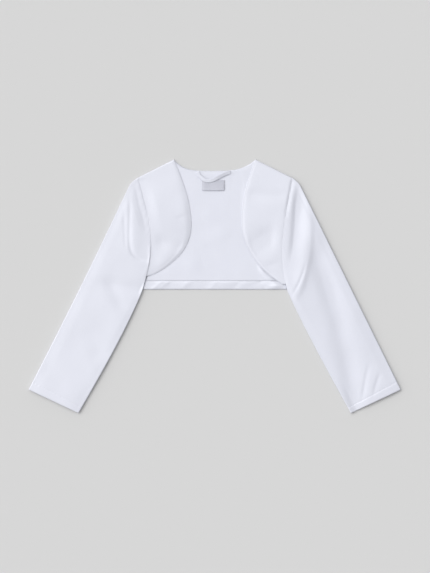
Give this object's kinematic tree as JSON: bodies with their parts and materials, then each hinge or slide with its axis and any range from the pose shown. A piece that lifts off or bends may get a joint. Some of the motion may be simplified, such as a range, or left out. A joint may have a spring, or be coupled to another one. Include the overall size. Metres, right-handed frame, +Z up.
{
  "type": "bolero jacket",
  "caption": "Girl's cropped white satin bolero jacket with open curved fronts and long straight sleeves, lined, laid flat with the sleeves spread.",
  "frame": {"origin": "on the surface the jacket lies on, under the middle of its bounding box", "axes": "+X towards the wearer's left sleeve, +Y towards the neck, +Z up off the surface, with the open fronts on top"},
  "size_m": [0.744, 0.507, 0.0108],
  "materials": {
    "satin": "white polyester satin, face side out, soft silky sheen",
    "lining": "white plain lining cloth, thin, with a lower sheen than the satin",
    "label": "silver-grey woven satin label, no lettering"
  },
  "bodies": {
    "root": {"back": "satin", "back_lining": "lining", "back_hem": "satin", "front_right": "satin", "front_left": "satin", "sleeve_right_top": "satin", "sleeve_right_under": "satin", "sleeve_left_top": "satin", "sleeve_left_under": "satin", "neck_label": "label", "hanger_loop": "satin"}
  },
  "joints": []
}
